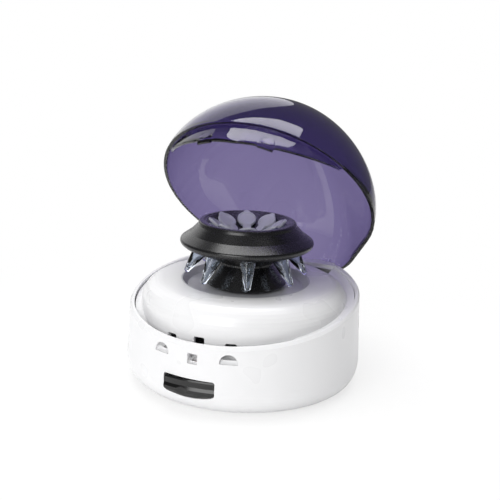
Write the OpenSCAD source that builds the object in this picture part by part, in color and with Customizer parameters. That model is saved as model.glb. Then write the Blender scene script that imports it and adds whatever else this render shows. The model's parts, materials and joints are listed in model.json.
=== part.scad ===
// Palm-size bench centrifuge for eight microtubes, lid open.
// Millimetres, +Z up. The origin is where the rotor's axis meets the table,
// and the front of the machine faces -Y.

/* [Base] */
// Widest diameter of the round base
base_d = 153; // [140:1:170]
// Thickness of the base's side wall
wall = 3; // [2:0.1:4]
// Loss of radius from the widest level up to the rim
wall_draft = 2; // [0.5:0.1:4]
// Height of the widest level above the table
widest_z = 16; // [13:0.5:20]
// How far the bottom edge is drawn in under the wall
bottom_inset = 8.5; // [5:0.1:11]
// Height of the rubber feet below the housing
foot_h = 1.6; // [1:0.1:4]
// Radius of each rubber foot
foot_r = 7; // [5:0.1:9]
// Distance of the feet from the rotor's axis
foot_pitch_r = 52; // [46:0.5:54]
// Thickness of the bottom plate and of the ring that it closes
floor_t = 2.4; // [1.6:0.1:3]
// How far the bottom plate's edge lies inside the base's foot
plate_step = 6; // [4:0.5:7]

/* [Rim] */
// Height of the slanted rim on the rotor's axis
rim_z = 56; // [54:0.5:58]
// Slant of the rim, lower at the front
rim_tilt = 9.2; // [7:0.1:12]
// Depth of the groove that takes the lid's skirt
groove_depth = 12.9; // [12.7:0.1:14]
// Depth of the groove where the skirt has run out
groove_min = 2.2; // [1.5:0.1:4]
// Width of the groove between the base wall and the cover
groove_w = 4.6; // [4.4:0.1:5.4]
// Bevel along the rim's outer edge
rim_bevel = 1.2; // [0.6:0.1:1.5]

/* [Cover] */
// Height of the flat deck above the table
deck_z = 65.3; // [64:0.1:67]
// Rounding of the deck's edge
deck_round = 13; // [8:0.5:14]
// Thickness of the cover's walls
cover_t = 2.4; // [1.8:0.1:3]
// Radius of the bowl's edge in the deck
bowl_r = 41.8; // [40.8:0.1:43]
// Depth of the bowl below the deck
bowl_depth = 4; // [3.2:0.1:4.5]
// How far the bowl's wall slopes in
bowl_slope = 4.2; // [3:0.1:6]
// Height at which the rear of the cover rests on the base wall
rear_seam_z = 45; // [42:0.5:46]

/* [Front openings] */
// Angle of the two latch windows to each side of the front
latch_angle = 17; // [15:0.5:20]
// Width of a half-moon latch window
window_w = 11; // [9:0.1:12]
// Height of a half-moon latch window
window_h = 6.2; // [5:0.1:7]
// Drop of the windows' flat edge below the rim
window_drop = 9.6; // [9:0.1:11]
// Side of the square hole in the middle
square_hole = 6.4; // [5:0.1:8]
// Rise of the sloped sill of a latch window
window_sill = 3; // [1.5:0.1:3.6]
// Rise of the sloped sill of the square hole
hole_sill = 1.5; // [0.5:0.1:2.5]
// Width of the three slots in the cover's side
slot_w = 7; // [5:0.1:8]
// Height of the three slots
slot_h = 6; // [4:0.1:8]
// Top of the middle slot above the rim
slot_rise = 0.9; // [0.4:0.1:2]
// How much lower the two outer slots end
slot_drop = 1.8; // [0:0.1:2.4]

/* [Lid] */
// How far the lid's edge lies inside the rim's outer edge
lid_step = 0.9; // [0.5:0.1:2]
// Height of the dome above its rim
dome_h = 67; // [66:0.5:72]
// Exponent of the dome's curve, 2 is an ellipse
dome_power = 1.75; // [1.7:0.01:2.1]
// Thickness of the dome
dome_t = 2.3; // [1.6:0.1:2.6]
// How far the tail reaches behind the hinge axis
tail_reach = 25; // [23:0.5:27]
// Radius of the tail
tail_r = 57; // [55:0.5:58]
// Depth of the skirt below the rim
skirt_depth = 12.3; // [10:0.1:12.4]
// Clearance between the skirt's top and the groove's outer wall
skirt_gap = 1.3; // [1.1:0.1:1.6]
// Narrowing of the skirt's outside from top to bottom
skirt_draft = 1; // [0.8:0.1:1.4]
// Thickness of the skirt at its top
skirt_t = 2; // [1.6:0.1:2.2]
// Distance from the lid's front over which the skirt runs out
skirt_run = 31; // [26:0.5:36]
// Angle that the lid opens
lid_open = 57.4; // [45:0.1:60]

/* [Latch] */
// Width of a latch tab
tab_w = 10.3; // [8:0.1:11]
// Length of a latch tab below the skirt
tab_len = 2.6; // [1.5:0.1:3]
// How far the half-moon catches stand proud
catch_proud = 0.5; // [0.3:0.1:0.6]
// Width of the tongue that works the lid switch
tongue_w = 6; // [4:0.1:6.2]
// Length of the tongue below the skirt
tongue_len = 1.2; // [0.8:0.1:1.6]

/* [Hinge] */
// Distance of the hinge axis inside the base's widest circle
hinge_step = 9.5; // [8.5:0.1:10.5]
// Height of the hinge axis
hinge_z = 56.4; // [55.5:0.1:57]
// Radius of the hinge pin
pin_r = 2; // [1.5:0.05:2.5]
// Clearance of a turning fit, on the radius
turn_gap = 0.05; // [0.03:0.01:0.08]
// Radius of the knuckles round the pin
knuckle_r = 5.2; // [4.6:0.1:5.8]
// Width of one knuckle
knuckle_w = 9; // [8:0.1:10]
// Distance of a knuckle's middle from the centre line
knuckle_x = 17; // [16.5:0.1:17.5]
// Thickness of the cover's hinge cheeks
cheek_t = 3.2; // [2.5:0.1:3.4]
// Thickness of the friction washers
washer_t = 0.8; // [0.5:0.1:1]

/* [Rotor] */
// Widest radius of the rotor
rotor_r = 43; // [42:0.1:44]
// Radius of the rotor's top opening
rotor_top_r = 30; // [29:0.1:31]
// Height of the rotor's top
rotor_top_z = 104; // [103.5:0.1:104.5]
// Height of the rotor's widest level
rotor_widest_z = 90.6; // [89:0.1:92]
// Thickness of the rotor's outer lip
rotor_lip = 2.8; // [2:0.1:3.6]
// Gap under the rotor
rotor_gap = 1.6; // [1:0.1:2]
// Radius of the foot of the rotor's lower cone
cone_foot_r = 26.4; // [25:0.1:28]
// Radius of the neck of the lower cone
cone_neck_r = 17; // [16:0.1:18]
// Height of the neck
neck_z = 78; // [77:0.1:79]
// Lean of the tube holes from upright
tube_lean = 33; // [31:0.5:35]
// Number of tube places
tubes = 8; // [6:1:8]
// Distance of a tube seat's middle from the axis
seat_r = 19.5; // [19:0.1:20.5]
// Height of a tube seat's middle
seat_z = 99; // [98.5:0.1:99.5]

/* [Tubes] */
// Radius of a tube's upper body
tube_r = 5.4; // [4.8:0.05:5.6]
// Clearance of a tube in its hole, on the radius
tube_gap = 0.15; // [0.1:0.05:0.3]
// Length of a tube below its lip
tube_len = 36; // [33:0.5:37]
// Length of the tapered end
tube_taper = 18.5; // [15:0.5:21]
// Radius of the rounded tip
tube_tip_r = 2; // [1.5:0.1:2.5]
// Wall of a tube
tube_wall = 0.9; // [0.7:0.1:1.2]
// Radius of the lip and of the cap
cap_r = 6.2; // [5.9:0.1:6.4]
// Thickness of the lip
lip_t = 1.2; // [0.8:0.1:1.5]
// Thickness of the cap
cap_t = 1.8; // [1.4:0.1:2.2]
// Reach of the cap's thumb tab beyond the cap
thumb_tab = 4; // [2:0.1:4.2]

/* [Drive] */
// Radius of the motor
motor_r = 17.5; // [14:0.5:20]
// Height of the motor's can
motor_h = 33; // [25:1:36]
// Radius of the motor's shaft
shaft_r = 1.6; // [1.2:0.05:2]
// Radius of the motor plate
motor_plate_r = 34; // [32.5:0.5:36]
// Thickness of the motor plate
motor_plate_t = 2; // [1.5:0.1:2.5]
// Distance of the rubber mounts from the axis
mount_pitch_r = 27; // [25.5:0.5:28.5]

/* [Switch] */
// Width of the power rocker
rocker_w = 33; // [30:0.1:36]
// Height of the power rocker
rocker_h = 11; // [8:0.1:12]
// Height of the rocker's middle above the table
rocker_z = 16.4; // [15.5:0.1:17.5]
// Place of the rocker's middle, to the right of the front
rocker_x = -2.5; // [-4:0.1:4]
// Tilt of the rocker between off and on
rocker_travel = 8; // [5:0.5:10]
// Clearance between the rocker and its opening
rocker_gap = 0.7; // [0.6:0.05:1]
// How far the rocker stands proud of the wall
rocker_proud = 1; // [0.6:0.1:1.4]

/* [Hidden] */

$fn = 64;
eps = 0.01;
far = 400;
// Clearance between faces that rest on or beside each other
seat_gap = 0.3;

base_r = base_d / 2;
shell_z = foot_h;
rim_outer_r = base_r - wall_draft;
groove_out_r = rim_outer_r - wall;
cover_r = groove_out_r - groove_w;
plate_r = base_r - bottom_inset - plate_step;
hinge_y = base_r - hinge_step;
lid_r = rim_outer_r - lid_step;
tail_d = hinge_y + tail_reach - tail_r;
skirt_r = groove_out_r - skirt_gap;
tan_tilt = tan(rim_tilt);
// Height of the slanted rim plane, y mm behind the axis
function rim_at(y) = rim_z + y * tan_tilt;
// Everything behind this line belongs to the cover's rear shoulder
rear_y = (deck_z - rim_z) / tan_tilt + 1;
shoulder_r = deck_z - hinge_z;
bowl_floor_z = deck_z - bowl_depth;
bowl_floor_r = bowl_r - bowl_slope;
rotor_foot_z = bowl_floor_z + rotor_gap;
post_r = 4;
post_pitch_r = plate_r - 10;
post_screw_len = 11;
post_foot_z = shell_z + floor_t;
lap_w = 2.5;
window_z = rim_at(-rim_outer_r) - window_drop;
hole_z = window_z - 2.4;
inlet_z = 20;
inlet_r = 5.2;
inlet_len = 13;
rocker_corner = 1.6;
screw_r = 1.4;
screw_head_r = 2.8;
screw_head_t = 1.8;

// Points of an arc in a profile, from one angle to another
function arc(cx, cz, r, a0, a1, n) =
    [for (i = [0 : n]) [cx + r * cos(a0 + (a1 - a0) * i / n), cz + r * sin(a0 + (a1 - a0) * i / n)]];

// A half space below the slanted rim plane, moved by an offset along its normal
module below_rim(offset_z) {
    on_rim() translate([-far / 2, -far / 2, offset_z - far]) cube([far, far, far]);
}

// A half space below the groove's floor, moved down by a drop: deep at the front, shallow behind
module below_groove(drop) {
    intersection() {
        below_rim(-groove_min - drop);
        on_rim() below_run(-groove_depth - drop);
    }
}

// A half space on the rim plane that rises to the rear as the skirt's edge does
module below_run(low) {
    translate([0, -skirt_r, low]) rotate([atan(skirt_depth / skirt_run), 0, 0])
        translate([-far / 2, -far / 2, -far]) cube([far, far, far]);
}

// Puts what is drawn upright and level onto the slanted rim plane
module on_rim() {
    translate([0, 0, rim_z]) rotate([rim_tilt, 0, 0]) children();
}

// Turns what is drawn in the shut lid's place about the hinge into the open lid's place
module opened() {
    translate([0, hinge_y, hinge_z]) rotate([-lid_open, 0, 0])
        translate([0, -hinge_y, -hinge_z]) children();
}

// Turns a child from the front round the rotor's axis
module round_front(angle) {
    rotate([0, 0, angle]) children();
}

// Profile of the base from the axis out to an offset of its outer face
module base_profile(inset, bottom) {
    r = base_r - inset;
    foot = r - bottom_inset;
    top_z = deck_z + 20;
    top_r = r - wall_draft * (top_z - widest_z) / (rim_z - widest_z);
    h = widest_z - bottom;
    polygon(concat([[0, bottom], [foot, bottom]],
        [for (i = [1 : 9]) [foot + bottom_inset * sin(i * 10), bottom + h * (1 - cos(i * 10))]],
        [[top_r, top_z], [0, top_z]]));
}

// Half-moon with a flat lower edge, drawn in X and Z and pushed along Y
module half_moon(w, h, depth) {
    r = (w * w / 4 + h * h) / (2 * h);
    rotate([90, 0, 0]) linear_extrude(depth, center = true) intersection() {
        translate([0, h - r]) circle(r);
        translate([-w / 2, 0]) square([w, h]);
    }
}

// Opening of the power rocker: straight top, bowed lower edge, rounded corners
module rocker_outline(grow) {
    w = rocker_w + 2 * grow;
    h = rocker_h + 2 * grow;
    bow = 62;
    intersection() {
        union() {
            translate([-w / 2, -h / 2 + 4]) square([w, h - 4 - rocker_corner]);
            translate([-w / 2 + rocker_corner, -h / 2]) square([w - 2 * rocker_corner, h]);
            for (side = [-1, 1], y = [h / 2 - rocker_corner, -h / 2 + 4])
                translate([side * (w / 2 - rocker_corner), y]) circle(rocker_corner, $fn = 32);
        }
        translate([0, bow - h / 2]) circle(bow, $fn = 128);
    }
}

// Places round the rotor's axis, at a radius, from a start angle
module screw_places(r, start, n) {
    for (i = [0 : n - 1]) rotate([0, 0, start + i * 360 / n]) translate([r, 0, 0]) children();
}

// Outer housing: drafted wall with a rounded foot and a slanted rim
module base_shell() {
    color("white") difference() {
        rotate_extrude($fn = 128) base_profile(0, shell_z);
        translate([0, 0, floor_t]) rotate_extrude($fn = 128) base_profile(wall, shell_z);
        // the ring that the bottom plate closes, with a lip above the plate's flange
        translate([0, 0, -1]) cylinder(r = plate_r - lap_w + seat_gap, h = far, $fn = 96);
        translate([0, 0, -1]) cylinder(r = plate_r + seat_gap, h = shell_z + 1 + floor_t / 2, $fn = 96);
        // the slanted rim at the front and sides
        difference() {
            translate([-far / 2, -far / 2, 0]) cube([far, far / 2 + rear_y, far]);
            below_rim(0);
        }
        // the rear, where the cover's shoulder stands on the wall
        translate([-far / 2, rear_y - eps, rear_seam_z]) cube([far, far, far]);
        for (side = [-1, 1]) round_front(side * latch_angle) above_sill(window_z, window_sill)
            translate([0, -groove_out_r - wall / 2, window_z]) half_moon(window_w, window_h, wall * 4);
        above_sill(hole_z, hole_sill) translate([-square_hole / 2, -base_r - wall, hole_z])
            cube([square_hole, wall * 4, square_hole]);
        // a bevel along the rim's outer edge
        difference() {
            translate([0, 0, rim_at(-base_r) - 4]) cylinder(r = base_r + 10, h = far, $fn = 96);
            bevel_cone();
            translate([-far / 2, rear_y, 0]) cube([far, far, far]);
        }
        translate([rocker_x, -base_r, rocker_z]) rotate([90, 0, 0])
            linear_extrude(wall * 6, center = true) rocker_outline(rocker_gap);
        translate([0, base_r, inlet_z]) rotate([90, 0, 0])
            cylinder(r = inlet_r + 0.15, h = wall * 6, center = true);
    }
}

// Leaves of its children what lies above a sill that rises inwards through the wall
module above_sill(z, rise) {
    intersection() {
        children();
        translate([-far / 2, -rim_outer_r, z]) rotate([atan(rise / wall), 0, 0])
            translate([0, -far / 2, 0]) cube([far, far, far]);
    }
}

// Cone of 45 degrees whose side cuts the wall's outer edge along the slanted rim. It leans about
// three tenths as far as the rim does and is shifted back, so that the bevel stays even all round.
module bevel_cone() {
    half = far / 2;
    shift = 0.4 * rim_outer_r * tan_tilt;
    apex = rim_z + 1.012 * rim_outer_r - rim_bevel;
    translate([0, shift, apex]) rotate([0.3 * rim_tilt, 0, 0])
        translate([0, 0, -half]) cylinder(r1 = half, r2 = eps, h = half, $fn = 128);
}

// Round plate that closes the housing from below
module bottom_plate() {
    color("gainsboro") difference() {
        union() {
            translate([0, 0, shell_z]) cylinder(r = plate_r, h = floor_t / 2 - 0.05, $fn = 96);
            translate([0, 0, shell_z]) cylinder(r = plate_r - lap_w, h = floor_t, $fn = 96);
        }
        screw_places(post_pitch_r, 45, 4) translate([0, 0, shell_z - 1]) {
            cylinder(r = screw_r + 0.2, h = 20);
            cylinder(r = screw_head_r + 0.3, h = 1 + floor_t / 2);
        }
        // cooling slots
        for (i = [-2 : 2]) translate([i * 7 - 1.2, -34, 0]) cube([2.4, 14, 20]);
    }
}

// Four feet round the edge and a low pad in the middle
module rubber_feet() {
    color("dimgray") {
        cylinder(r1 = foot_r - 0.6, r2 = foot_r, h = foot_h);
        screw_places(foot_pitch_r, 0, 4) difference() {
            cylinder(r1 = foot_r - 0.6, r2 = foot_r, h = foot_h);
            translate([0, 0, -eps]) cylinder(r1 = 3.4, r2 = 2.6, h = 0.8);
        }
    }
}

// Screw that points up, its head below, with a socket for the driver
module screw(len, r, head_r, head_t) {
    difference() {
        union() {
            cylinder(r = r, h = len);
            translate([0, 0, -head_t]) cylinder(r = head_r, h = head_t);
        }
        translate([0, 0, -head_t - eps]) cylinder(r = head_r * 0.45, h = head_t * 0.6, $fn = 6);
    }
}

module bottom_screws() {
    color("silver") screw_places(post_pitch_r, 45, 4)
        translate([0, 0, shell_z + floor_t / 2]) screw(post_screw_len, screw_r - 0.1, screw_head_r, floor_t / 2);
}

// Filled shape of the cover, from which its inside is taken
module cover_block(inset) {
    r = cover_r - inset;
    top = deck_z - inset;
    round_r = deck_round - inset;
    rotate_extrude($fn = 128) polygon(concat([[0, 0], [r, 0]],
        arc(r - round_r, top - round_r, round_r, 0, 90, 8), [[0, top]]));
}

// The rear shoulder, rounded about the hinge axis
module shoulder_block(inset) {
    intersection() {
        rotate_extrude($fn = 128) base_profile(inset, shell_z);
        translate([-far / 2, rear_y + inset, 0]) cube([far, far, far]);
        union() {
            translate([-far / 2, 0, 0]) cube([far, far, hinge_z]);
            translate([-far / 2, 0, 0]) cube([far, hinge_y, deck_z - inset]);
            translate([0, hinge_y, hinge_z]) rotate([0, 90, 0])
                cylinder(r = shoulder_r - inset, h = far, center = true, $fn = 96);
        }
    }
}

module top_cover() {
    color("white") difference() {
        union() {
            difference() {
                union() {
                    intersection() {
                        cover_block(0);
                        difference() {
                            cylinder(r = far, h = far);
                            below_groove(cover_t);
                        }
                    }
                    // the floor of the groove
                    intersection() {
                        cylinder(r = groove_out_r - seat_gap, h = far, $fn = 128);
                        translate([-far / 2, -far / 2, 0]) cube([far, far / 2 + rear_y, far]);
                        difference() {
                            below_groove(0);
                            below_groove(cover_t);
                        }
                    }
                    // the rear shoulder
                    difference() {
                        shoulder_block(0);
                        cylinder(r = far, h = rear_seam_z + seat_gap);
                    }
                }
                // the hollow under the deck
                cover_block(cover_t);
                difference() {
                    shoulder_block(cover_t);
                    cylinder(r = 30, h = far);
                }
                translate([-hollow_half, rear_y - 10, 0]) cube([2 * hollow_half, 16, deck_z - cover_t]);
            }
            // the block that holds the hinge pin
            intersection() {
                shoulder_block(cover_t / 2);
                translate([-block_half, hinge_y - block_reach, hinge_z - block_drop])
                    cube([2 * block_half, far, block_drop + shoulder_r - cover_t / 2]);
            }
            // screw posts down to the bottom plate
            screw_places(post_pitch_r, 45, 4) translate([0, 0, post_foot_z])
                cylinder(r = post_r, h = deck_z - cover_t / 2 - post_foot_z);
        }
        // the bowl's place
        translate([0, 0, deck_z - cover_t - 1]) cylinder(r = bowl_r + 0.1, h = 20, $fn = 128);
        screw_places(post_pitch_r, 45, 4) translate([0, 0, post_foot_z - 1])
            cylinder(r = screw_r - 0.1, h = 14);
        // slots in the side for the latch tabs and the tongue
        side_slot(slot_rise);
        for (side = [-1, 1]) round_front(side * latch_angle) side_slot(slot_rise - slot_drop);
        // slots in the groove's floor
        for (side = [-1, 1]) round_front(side * latch_angle)
            translate([-tab_w / 2 - 0.6, -groove_out_r, 0]) cube([tab_w + 1.2, groove_w, rim_z]);
        translate([-tongue_w / 2 - 0.5, -groove_out_r, 0]) cube([tongue_w + 1, groove_w, rim_z]);
        // slots for the knuckles
        for (side = [-1, 1]) translate([side * knuckle_x, hinge_y, hinge_z]) {
            rotate([0, 90, 0]) cylinder(r = knuckle_r + 0.5, h = knuckle_slot, center = true);
            translate([-knuckle_slot / 2, -0.5, -8]) cube([knuckle_slot, far, far]);
        }
        // the middle of the block, and the pin's bore
        translate([-block_gap / 2, hinge_y - block_reach - 1, hinge_z - block_drop - 1])
            cube([block_gap, block_reach + 5, block_drop + shoulder_r - cover_t]);
        translate([0, hinge_y, hinge_z]) rotate([0, 90, 0])
            cylinder(r = pin_r + pin_fit, h = 2 * pin_half, center = true);
    }
}

knuckle_slot = knuckle_w + 2 * (washer_t + seat_gap);
block_half = knuckle_x + knuckle_slot / 2 + cheek_t;
block_gap = 2 * (knuckle_x - knuckle_slot / 2 - cheek_t);
block_drop = 10;
block_reach = knuckle_r + 3;
pin_half = block_half - 0.6;
pin_fit = 0.01;
hollow_half = 40;

// One slot in the cover's side, its top at a height above the rim
module side_slot(rise) {
    corner = 1;
    top = rim_at(-cover_r) + rise;
    translate([0, -cover_r, top - slot_h / 2]) rotate([90, 0, 0])
        linear_extrude(2 * cover_t + 2, center = true) union() {
            square([slot_w - 2 * corner, slot_h], center = true);
            square([slot_w, slot_h - 2 * corner], center = true);
            for (x = [-1, 1], y = [-1, 1])
                translate([x * (slot_w / 2 - corner), y * (slot_h / 2 - corner)]) circle(corner, $fn = 24);
        }
}

// Grey dish that the rotor runs in
module bowl_liner() {
    flange = 4;
    t = 1.6;
    color("gray") difference() {
        union() {
            rotate_extrude($fn = 128) polygon([
                [0, bowl_floor_z - t], [bowl_floor_r, bowl_floor_z - t],
                [bowl_r - t, deck_z - cover_t - t], [bowl_r + flange, deck_z - cover_t - t],
                [bowl_r + flange, deck_z - cover_t], [bowl_r, deck_z - cover_t],
                [bowl_r, deck_z], [bowl_r - 0.8, deck_z],
                [bowl_floor_r, bowl_floor_z], [0, bowl_floor_z]]);
            screw_places(mount_pitch_r, 45, 4) translate([0, 0, mount_top_z])
                cylinder(r = 4, h = bowl_floor_z - t / 2 - mount_top_z, $fn = 32);
        }
        translate([0, 0, bowl_floor_z - 10]) cylinder(r = 9, h = 20);
        screw_places(mount_pitch_r, 45, 4) translate([0, 0, mount_top_z - 1])
            cylinder(r = 1.2, h = 3, $fn = 32);
    }
}

mount_top_z = bowl_floor_z - 3;
mount_free = 2;
motor_plate_z = mount_top_z - mount_free - motor_plate_t;
mount_r = 4.6;
mount_neck_r = 3;
mount_screw_r = 1.15;
motor_boss_r = 5;
motor_screw_pitch_r = 9;
motor_screw_grip = 3;

// Disc that carries the motor, with four holes that lighten it
module motor_plate() {
    color("silver") translate([0, 0, motor_plate_z]) difference() {
        cylinder(r = motor_plate_r, h = motor_plate_t, $fn = 96);
        translate([0, 0, -1]) cylinder(r = motor_boss_r + 0.2, h = 10);
        screw_places(mount_pitch_r, 45, 4) translate([0, 0, -1]) cylinder(r = mount_neck_r + 0.05, h = 10);
        screw_places(motor_screw_pitch_r, 0, 2) translate([0, 0, -1]) cylinder(r = screw_r + 0.1, h = 10);
        screw_places(24, 0, 4) translate([0, 0, -1]) cylinder(r = 5, h = 10);
    }
}

// Rubber bushes that hold the motor plate under the bowl
module rubber_mounts() {
    color("#222222") screw_places(mount_pitch_r, 45, 4) difference() {
        union() {
            translate([0, 0, motor_plate_z + motor_plate_t]) cylinder(r = mount_r, h = mount_free);
            translate([0, 0, motor_plate_z - eps]) cylinder(r = mount_neck_r, h = motor_plate_t + 2 * eps);
            translate([0, 0, motor_plate_z - mount_free]) cylinder(r = mount_r, h = mount_free);
        }
        translate([0, 0, motor_plate_z - 10]) cylinder(r = mount_screw_r + 0.2, h = 30);
    }
}

module mount_screws() {
    color("silver") screw_places(mount_pitch_r, 45, 4)
        translate([0, 0, motor_plate_z - mount_free])
            screw(2 * mount_free + motor_plate_t + 1.8, mount_screw_r, screw_head_r, screw_head_t);
}

module motor_screws() {
    color("silver") screw_places(motor_screw_pitch_r, 0, 2)
        translate([0, 0, motor_plate_z + motor_plate_t]) mirror([0, 0, 1])
            screw(motor_plate_t + motor_screw_grip, screw_r, screw_head_r - 0.3, 1.4);
}

module motor_can() {
    top = motor_plate_z;
    color("#8c8f94") difference() {
        union() {
            rotate_extrude() polygon(concat(
                [[0, top - motor_h], [motor_r - 2, top - motor_h]],
                arc(motor_r - 2, top - motor_h + 2, 2, -90, 0, 4),
                arc(motor_r - 1.5, top - 1.5, 1.5, 0, 90, 4), [[0, top]]));
            translate([0, 0, top - 1]) cylinder(r = motor_boss_r, h = 1 + motor_plate_t);
            translate([0, 0, top - motor_h - 3]) cylinder(r = motor_boss_r, h = 4);
        }
        translate([0, 0, top - motor_h + 2]) cylinder(r = shaft_r + turn_gap, h = motor_h + 10);
        screw_places(motor_screw_pitch_r, 0, 2) translate([0, 0, top - 3.4])
            cylinder(r = screw_r + 0.05, h = 10);
    }
}

// Board on four stand-offs, with the speed control's parts on it
module control_board() {
    t = 1.6;
    rise = 4;
    board_w = 54;
    board_d = 40;
    color("darkgreen") translate([0, 4, post_foot_z]) {
        translate([-board_w / 2, 2 - board_d / 2, rise]) cube([board_w, board_d, t]);
        for (x = [-23, 23], y = [-14, 18]) translate([x, y, 0]) cylinder(r = 2.6, h = rise + eps);
        translate([-20, 4, rise + t - eps]) cube([12, 10, 3.2]);
        translate([6, -12, rise + t - eps]) cube([14, 9, 1.6]);
    }
}

// Distance of the rocker's pin from the rotor's axis
switch_pivot_y = base_r - 6.5;
switch_wall = 1.2;
rocker_pin_r = 1;

// Body behind the wall that the rocker turns in
module switch_body() {
    w = rocker_w + 4;
    h = rocker_h + 4;
    color("#1a1a1a") intersection() {
        translate([rocker_x, 0, rocker_z]) difference() {
            translate([-w / 2, -base_r, -h / 2]) cube([w, base_r - switch_pivot_y + 11.5, h]);
            translate([-w / 2 + switch_wall, -base_r - 1, -h / 2 + switch_wall])
                cube([w - 2 * switch_wall, base_r + 11 - switch_pivot_y, h - 2 * switch_wall]);
            translate([0, -switch_pivot_y, 0])
                cylinder(r = rocker_pin_r + pin_fit, h = 40, center = true, $fn = 32);
        }
        translate([0, 0, floor_t]) rotate_extrude($fn = 128) base_profile(wall + 0.05, shell_z);
    }
}

module rocker_pin() {
    color("silver") translate([rocker_x, -switch_pivot_y, rocker_z])
        cylinder(r = rocker_pin_r, h = rocker_h + 4, center = true, $fn = 32);
}

// Rocker with a crease along its face and a finger dip, left side standing proud
module power_rocker() {
    lobe_r = base_r + rocker_proud;
    low = rocker_z - rocker_h / 2;
    high = low + rocker_h;
    stem_w = 6;
    color("black") translate([rocker_x, -switch_pivot_y, 0]) rotate([0, 0, rocker_travel / 2])
        translate([-rocker_x, switch_pivot_y, 0]) difference() {
            union() {
                intersection() {
                    rotate_extrude($fn = 128) polygon([
                        [lobe_r - 5, low], [lobe_r - 1.2, low], [lobe_r, low + 2.6], [lobe_r, low + 4.6],
                        [lobe_r - 1, low + 6.4], [lobe_r - 0.7, high - 1], [lobe_r - 1, high],
                        [lobe_r - 5, high]]);
                    translate([rocker_x, -base_r, rocker_z]) rotate([90, 0, 0])
                        linear_extrude(40, center = true) rocker_outline(0);
                }
                // the stem that turns on the pin
                translate([rocker_x - stem_w / 2, -lobe_r + 3, low + 0.8])
                    cube([stem_w, lobe_r - switch_pivot_y, rocker_h - 1.6]);
            }
            translate([rocker_x, -switch_pivot_y, 0])
                cylinder(r = rocker_pin_r + turn_gap, h = 60, $fn = 32);
            // the finger dip
            translate([rocker_x - 5, -lobe_r - 10.6, 0]) cylinder(r = 11.5, h = 60, $fn = 96);
        }
}

plunger_r = 1.2;
tongue_y = -(skirt_r - skirt_draft - 0.8);
// Height of the tongue's end when the lid is shut
tongue_end_z = rim_at(tongue_y) - (skirt_depth + tongue_len) / cos(rim_tilt);
// The lid switch stands on the rocker's switch body and ends under the sloping floor of the groove
lid_switch_front = 1.8;
lid_switch_w = 12.8;
lid_switch_z = rocker_z + rocker_h / 2 + 2 + seat_gap;
run_rise = skirt_depth / skirt_run;
floor_w = skirt_r * run_rise - groove_depth - cover_t;
switch_v = (tongue_y - lid_switch_front + floor_w * sin(rim_tilt))
    / (cos(rim_tilt) - run_rise * sin(rim_tilt));
floor_z = rim_z + switch_v * sin(rim_tilt) + (floor_w + switch_v * run_rise) * cos(rim_tilt);
lid_switch_top = floor_z - 1.2 * seat_gap;
plunger_z = lid_switch_z + 2.3;

// Switch that senses the shut lid
module lid_switch() {
    color("#202020") translate([0, tongue_y, lid_switch_z]) difference() {
        translate([-lid_switch_w / 2, -lid_switch_front, 0])
            cube([lid_switch_w, 5.8, lid_switch_top - lid_switch_z]);
        translate([0, 0, 0.7]) cylinder(r = plunger_r + 0.3, h = 20, $fn = 32);
    }
}

module lid_switch_plunger() {
    color("#b03020") translate([0, tongue_y, plunger_z])
        cylinder(r = plunger_r, h = tongue_end_z - seat_gap - 0.1 - plunger_z, $fn = 32);
}

// The socket's face, a little below the wall's
inlet_y = base_r - 0.5;

// Round socket for the supply plug
module power_inlet() {
    color("#1a1a1a") translate([0, inlet_y, inlet_z]) rotate([90, 0, 0]) difference() {
        union() {
            cylinder(r = inlet_r, h = inlet_len);
            translate([-7, -6.5, wall + 0.4]) cube([14, 13, inlet_len - wall - 0.4]);
        }
        translate([0, 0, -1]) cylinder(r = 2.9, h = 10.5);
    }
}

module inlet_pin() {
    color("gold") translate([0, inlet_y - 1.5, inlet_z]) rotate([90, 0, 0])
        cylinder(r = 1, h = 8, $fn = 32);
}

module hinge_pin() {
    color("silver") translate([0, hinge_y, hinge_z]) rotate([0, 90, 0])
        cylinder(r = pin_r, h = 2 * pin_half - 0.4, center = true);
}

// Washers that brake the knuckles against the block
module friction_washers() {
    color("#303030") for (side = [-1, 1], end = [-1, 1])
        translate([side * knuckle_x + end * (knuckle_slot - washer_t) / 2, hinge_y, hinge_z])
            rotate([0, 90, 0]) difference() {
                cylinder(r = knuckle_r - 0.6, h = washer_t, center = true);
                cylinder(r = pin_r + pin_fit, h = washer_t * 2, center = true);
            }
}

// Filled dome on the rim plane
module dome_block(inset, low) {
    levels = 13;
    hull() for (i = [0 : levels]) {
        s = sin(90 * i / levels);
        g = pow(max(0, 1 - pow(s, dome_power)), 1 / dome_power);
        z = i == 0 ? low : s * (dome_h - inset);
        translate([0, 0, z]) {
            cylinder(r = max(0.2, (lid_r - inset) * g), h = eps, $fn = 64);
            translate([0, tail_d * g, 0]) cylinder(r = max(0.2, (tail_r - inset) * g), h = eps, $fn = 64);
        }
    }
}

// The hinge axis as seen from the rim plane
hinge_v = hinge_y * cos(rim_tilt) + (hinge_z - rim_z) * sin(rim_tilt);
hinge_w = (hinge_z - rim_z) * cos(rim_tilt) - hinge_y * sin(rim_tilt);
yoke_t = 2.6;
yoke_seat = seat_gap + 1.4;
yoke_screw_t = 1.1;
yoke_screw_a = 32;
yoke_screw_r = tail_r - 5.6;
yoke_screw_len = 7;
yoke_half = 2 * knuckle_x;

// Places of the screws that hold the yoke under the dome's tail
module yoke_screw_places() {
    for (side = [-1, 1]) translate([0, tail_d, 0]) rotate([0, 0, -side * yoke_screw_a])
        translate([0, yoke_screw_r, 0]) children();
}

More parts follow.
